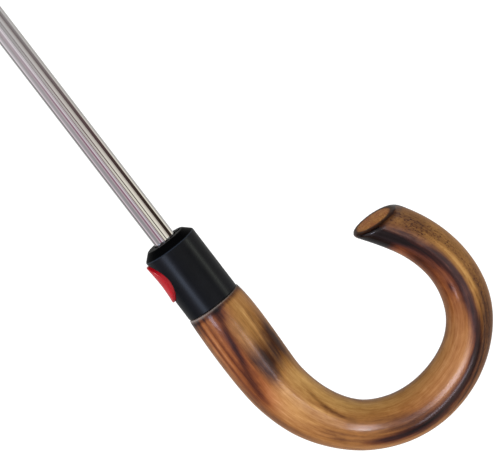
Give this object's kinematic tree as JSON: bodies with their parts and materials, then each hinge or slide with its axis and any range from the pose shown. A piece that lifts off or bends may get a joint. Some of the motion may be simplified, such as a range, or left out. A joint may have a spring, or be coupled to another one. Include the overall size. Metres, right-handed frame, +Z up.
{
  "type": "stick umbrella",
  "caption": "Stick umbrella with a wooden crook, a push-button collar, a fluted steel shaft and a folding ribbed canopy, drawn open.",
  "frame": {"origin": "on the shaft axis, in the joint between the wooden crook and the collar, where a hand holds it", "axes": "+Z up the shaft to the ferrule; +X the way the crook curls; the push button faces -X"},
  "size_m": [1.1122, 1.1122, 0.8187],
  "materials": {
    "crook_wood": "flame-scorched wood under clear lacquer",
    "shaft_steel": "polished fluted tube",
    "collar_plastic": "satin black",
    "button_red": "gloss red",
    "spring_steel": "drawn wire",
    "zinc_steel": "zinc plated",
    "black_plastic": "moulded",
    "ferrule_steel": "polished",
    "ferrule_rubber": "moulded rubber",
    "snap_metal": "black press stud",
    "rib_steel": "black nickel channel",
    "rib_fibre": "fibreglass rod",
    "canopy_cloth": "black pongee",
    "tip_metal": "polished"
  },
  "bodies": {
    "root": {"crook_handle": "crook_wood", "shaft_tube": "shaft_steel", "spring_seat": "zinc_steel", "seat_pin": "zinc_steel", "collar_housing": "collar_plastic", "button_spring": "spring_steel", "main_spring": "spring_steel", "top_notch": "black_plastic", "notch_wire": "zinc_steel", "canopy_cap": "black_plastic", "ferrule": "ferrule_steel", "ferrule_tip": "ferrule_rubber"},
    "button": {"push_button": "button_red", "latch_plate": "zinc_steel"},
    "runner": {"runner": "black_plastic", "runner_wire": "zinc_steel", "spring_plunger": "zinc_steel", "drive_pin": "zinc_steel"},
    "rib_inner_1": {"rib_inner_1": "rib_steel", "canopy_1": "canopy_cloth"},
    "rib_outer_1": {"rib_outer_1": "rib_fibre", "rib_tip_1": "tip_metal"},
    "stretcher_1": {"stretcher_1": "rib_steel"},
    "rib_inner_2": {"rib_inner_2": "rib_steel", "canopy_2": "canopy_cloth"},
    "rib_outer_2": {"rib_outer_2": "rib_fibre", "rib_tip_2": "tip_metal"},
    "stretcher_2": {"stretcher_2": "rib_steel"},
    "rib_inner_3": {"rib_inner_3": "rib_steel", "canopy_3": "canopy_cloth"},
    "rib_outer_3": {"rib_outer_3": "rib_fibre", "rib_tip_3": "tip_metal"},
    "stretcher_3": {"stretcher_3": "rib_steel"},
    "rib_inner_4": {"rib_inner_4": "rib_steel", "canopy_4": "canopy_cloth"},
    "rib_outer_4": {"rib_outer_4": "rib_fibre", "rib_tip_4": "tip_metal"},
    "stretcher_4": {"stretcher_4": "rib_steel"},
    "rib_inner_5": {"rib_inner_5": "rib_steel", "canopy_5": "canopy_cloth"},
    "rib_outer_5": {"rib_outer_5": "rib_fibre", "rib_tip_5": "tip_metal"},
    "stretcher_5": {"stretcher_5": "rib_steel"},
    "rib_inner_6": {"rib_inner_6": "rib_steel", "canopy_6": "canopy_cloth"},
    "rib_outer_6": {"rib_outer_6": "rib_fibre", "rib_tip_6": "tip_metal", "closing_strap": "canopy_cloth", "strap_snap": "snap_metal"},
    "stretcher_6": {"stretcher_6": "rib_steel"},
    "rib_inner_7": {"rib_inner_7": "rib_steel", "canopy_7": "canopy_cloth"},
    "rib_outer_7": {"rib_outer_7": "rib_fibre", "rib_tip_7": "tip_metal"},
    "stretcher_7": {"stretcher_7": "rib_steel"},
    "rib_inner_8": {"rib_inner_8": "rib_steel", "canopy_8": "canopy_cloth"},
    "rib_outer_8": {"rib_outer_8": "rib_fibre", "rib_tip_8": "tip_metal"},
    "stretcher_8": {"stretcher_8": "rib_steel"}
  },
  "joints": [
    {"name": "button_push", "type": "slide", "parent": "root", "child": "button", "axis": [1, 0, 0], "range_m": [0, 0.002], "stiffness_N_per_m": 900, "springref_m": -0.002, "deforming": ["button_spring"]},
    {"name": "fold", "type": "hinge", "parent": "root", "child": "rib_inner_1", "pos_m": [0.01, 0, 0.65], "axis": [0, 1, 0], "range_deg": [0, 76], "stiffness_Nm_per_rad": 1.6, "springref_deg": -57.3, "deforming": ["canopy_1", "canopy_2", "canopy_3", "canopy_4", "canopy_5", "canopy_6", "canopy_7", "canopy_8", "main_spring", "closing_strap"]},
    {"name": "rib_hinge_2", "type": "hinge", "parent": "root", "child": "rib_inner_2", "pos_m": [0.00707, 0.00707, 0.65], "axis": [-0.7071, 0.7071, 0], "range_deg": [0, 76]},
    {"name": "rib_hinge_3", "type": "hinge", "parent": "root", "child": "rib_inner_3", "pos_m": [0, 0.01, 0.65], "axis": [-1, 0, 0], "range_deg": [0, 76]},
    {"name": "rib_hinge_4", "type": "hinge", "parent": "root", "child": "rib_inner_4", "pos_m": [-0.00707, 0.00707, 0.65], "axis": [-0.7071, -0.7071, 0], "range_deg": [0, 76]},
    {"name": "rib_hinge_5", "type": "hinge", "parent": "root", "child": "rib_inner_5", "pos_m": [-0.01, 0, 0.65], "axis": [0, -1, 0], "range_deg": [0, 76]},
    {"name": "rib_hinge_6", "type": "hinge", "parent": "root", "child": "rib_inner_6", "pos_m": [-0.00707, -0.00707, 0.65], "axis": [0.7071, -0.7071, 0], "range_deg": [0, 76]},
    {"name": "rib_hinge_7", "type": "hinge", "parent": "root", "child": "rib_inner_7", "pos_m": [0, -0.01, 0.65], "axis": [1, 0, 0], "range_deg": [0, 76]},
    {"name": "rib_hinge_8", "type": "hinge", "parent": "root", "child": "rib_inner_8", "pos_m": [0.00707, -0.00707, 0.65], "axis": [0.7071, 0.7071, 0], "range_deg": [0, 76]},
    {"name": "rib_flex_1", "type": "hinge", "parent": "rib_inner_1", "child": "rib_outer_1", "pos_m": [0.29347, 0, 0.58866], "axis": [0, 1, 0], "range_deg": [-14.4, 0]},
    {"name": "stretcher_hinge_1", "type": "hinge", "parent": "rib_inner_1", "child": "stretcher_1", "pos_m": [0.29257, 0, 0.58476], "axis": [0, 1, 0], "range_deg": [-152, 0]},
    {"name": "rib_flex_2", "type": "hinge", "parent": "rib_inner_2", "child": "rib_outer_2", "pos_m": [0.20751, 0.20751, 0.58866], "axis": [-0.7071, 0.7071, 0], "range_deg": [-14.4, 0]},
    {"name": "stretcher_hinge_2", "type": "hinge", "parent": "rib_inner_2", "child": "stretcher_2", "pos_m": [0.20688, 0.20688, 0.58476], "axis": [-0.7071, 0.7071, 0], "range_deg": [-152, 0]},
    {"name": "rib_flex_3", "type": "hinge", "parent": "rib_inner_3", "child": "rib_outer_3", "pos_m": [0, 0.29347, 0.58866], "axis": [-1, 0, 0], "range_deg": [-14.4, 0]},
    {"name": "stretcher_hinge_3", "type": "hinge", "parent": "rib_inner_3", "child": "stretcher_3", "pos_m": [0, 0.29257, 0.58476], "axis": [-1, 0, 0], "range_deg": [-152, 0]},
    {"name": "rib_flex_4", "type": "hinge", "parent": "rib_inner_4", "child": "rib_outer_4", "pos_m": [-0.20751, 0.20751, 0.58866], "axis": [-0.7071, -0.7071, 0], "range_deg": [-14.4, 0]},
    {"name": "stretcher_hinge_4", "type": "hinge", "parent": "rib_inner_4", "child": "stretcher_4", "pos_m": [-0.20688, 0.20688, 0.58476], "axis": [-0.7071, -0.7071, 0], "range_deg": [-152, 0]},
    {"name": "rib_flex_5", "type": "hinge", "parent": "rib_inner_5", "child": "rib_outer_5", "pos_m": [-0.29347, 0, 0.58866], "axis": [0, -1, 0], "range_deg": [-14.4, 0]},
    {"name": "stretcher_hinge_5", "type": "hinge", "parent": "rib_inner_5", "child": "stretcher_5", "pos_m": [-0.29257, 0, 0.58476], "axis": [0, -1, 0], "range_deg": [-152, 0]},
    {"name": "rib_flex_6", "type": "hinge", "parent": "rib_inner_6", "child": "rib_outer_6", "pos_m": [-0.20751, -0.20751, 0.58866], "axis": [0.7071, -0.7071, 0], "range_deg": [-14.4, 0]},
    {"name": "stretcher_hinge_6", "type": "hinge", "parent": "rib_inner_6", "child": "stretcher_6", "pos_m": [-0.20688, -0.20688, 0.58476], "axis": [0.7071, -0.7071, 0], "range_deg": [-152, 0]},
    {"name": "rib_flex_7", "type": "hinge", "parent": "rib_inner_7", "child": "rib_outer_7", "pos_m": [0, -0.29347, 0.58866], "axis": [1, 0, 0], "range_deg": [-14.4, 0]},
    {"name": "stretcher_hinge_7", "type": "hinge", "parent": "rib_inner_7", "child": "stretcher_7", "pos_m": [0, -0.29257, 0.58476], "axis": [1, 0, 0], "range_deg": [-152, 0]},
    {"name": "rib_flex_8", "type": "hinge", "parent": "rib_inner_8", "child": "rib_outer_8", "pos_m": [0.20751, -0.20751, 0.58866], "axis": [0.7071, 0.7071, 0], "range_deg": [-14.4, 0]},
    {"name": "stretcher_hinge_8", "type": "hinge", "parent": "rib_inner_8", "child": "stretcher_8", "pos_m": [0.20688, -0.20688, 0.58476], "axis": [0.7071, 0.7071, 0], "range_deg": [-152, 0]},
    {"name": "runner_hinge", "type": "hinge", "parent": "stretcher_1", "child": "runner", "pos_m": [0.01, 0, 0.51953], "axis": [0, 1, 0], "range_deg": [0, 76]}
  ],
  "couplings": [
    {"joint": "rib_hinge_2", "follows": "fold", "ratio": 1},
    {"joint": "rib_hinge_3", "follows": "fold", "ratio": 1},
    {"joint": "rib_hinge_4", "follows": "fold", "ratio": 1},
    {"joint": "rib_hinge_5", "follows": "fold", "ratio": 1},
    {"joint": "rib_hinge_6", "follows": "fold", "ratio": 1},
    {"joint": "rib_hinge_7", "follows": "fold", "ratio": 1},
    {"joint": "rib_hinge_8", "follows": "fold", "ratio": 1},
    {"joint": "rib_flex_1", "follows": "fold", "ratio": -0.18947},
    {"joint": "stretcher_hinge_1", "follows": "fold", "ratio": -2},
    {"joint": "rib_flex_2", "follows": "fold", "ratio": -0.18947},
    {"joint": "stretcher_hinge_2", "follows": "fold", "ratio": -2},
    {"joint": "rib_flex_3", "follows": "fold", "ratio": -0.18947},
    {"joint": "stretcher_hinge_3", "follows": "fold", "ratio": -2},
    {"joint": "rib_flex_4", "follows": "fold", "ratio": -0.18947},
    {"joint": "stretcher_hinge_4", "follows": "fold", "ratio": -2},
    {"joint": "rib_flex_5", "follows": "fold", "ratio": -0.18947},
    {"joint": "stretcher_hinge_5", "follows": "fold", "ratio": -2},
    {"joint": "rib_flex_6", "follows": "fold", "ratio": -0.18947},
    {"joint": "stretcher_hinge_6", "follows": "fold", "ratio": -2},
    {"joint": "rib_flex_7", "follows": "fold", "ratio": -0.18947},
    {"joint": "stretcher_hinge_7", "follows": "fold", "ratio": -2},
    {"joint": "rib_flex_8", "follows": "fold", "ratio": -0.18947},
    {"joint": "stretcher_hinge_8", "follows": "fold", "ratio": -2},
    {"joint": "runner_hinge", "follows": "fold", "ratio": 1}
  ]
}
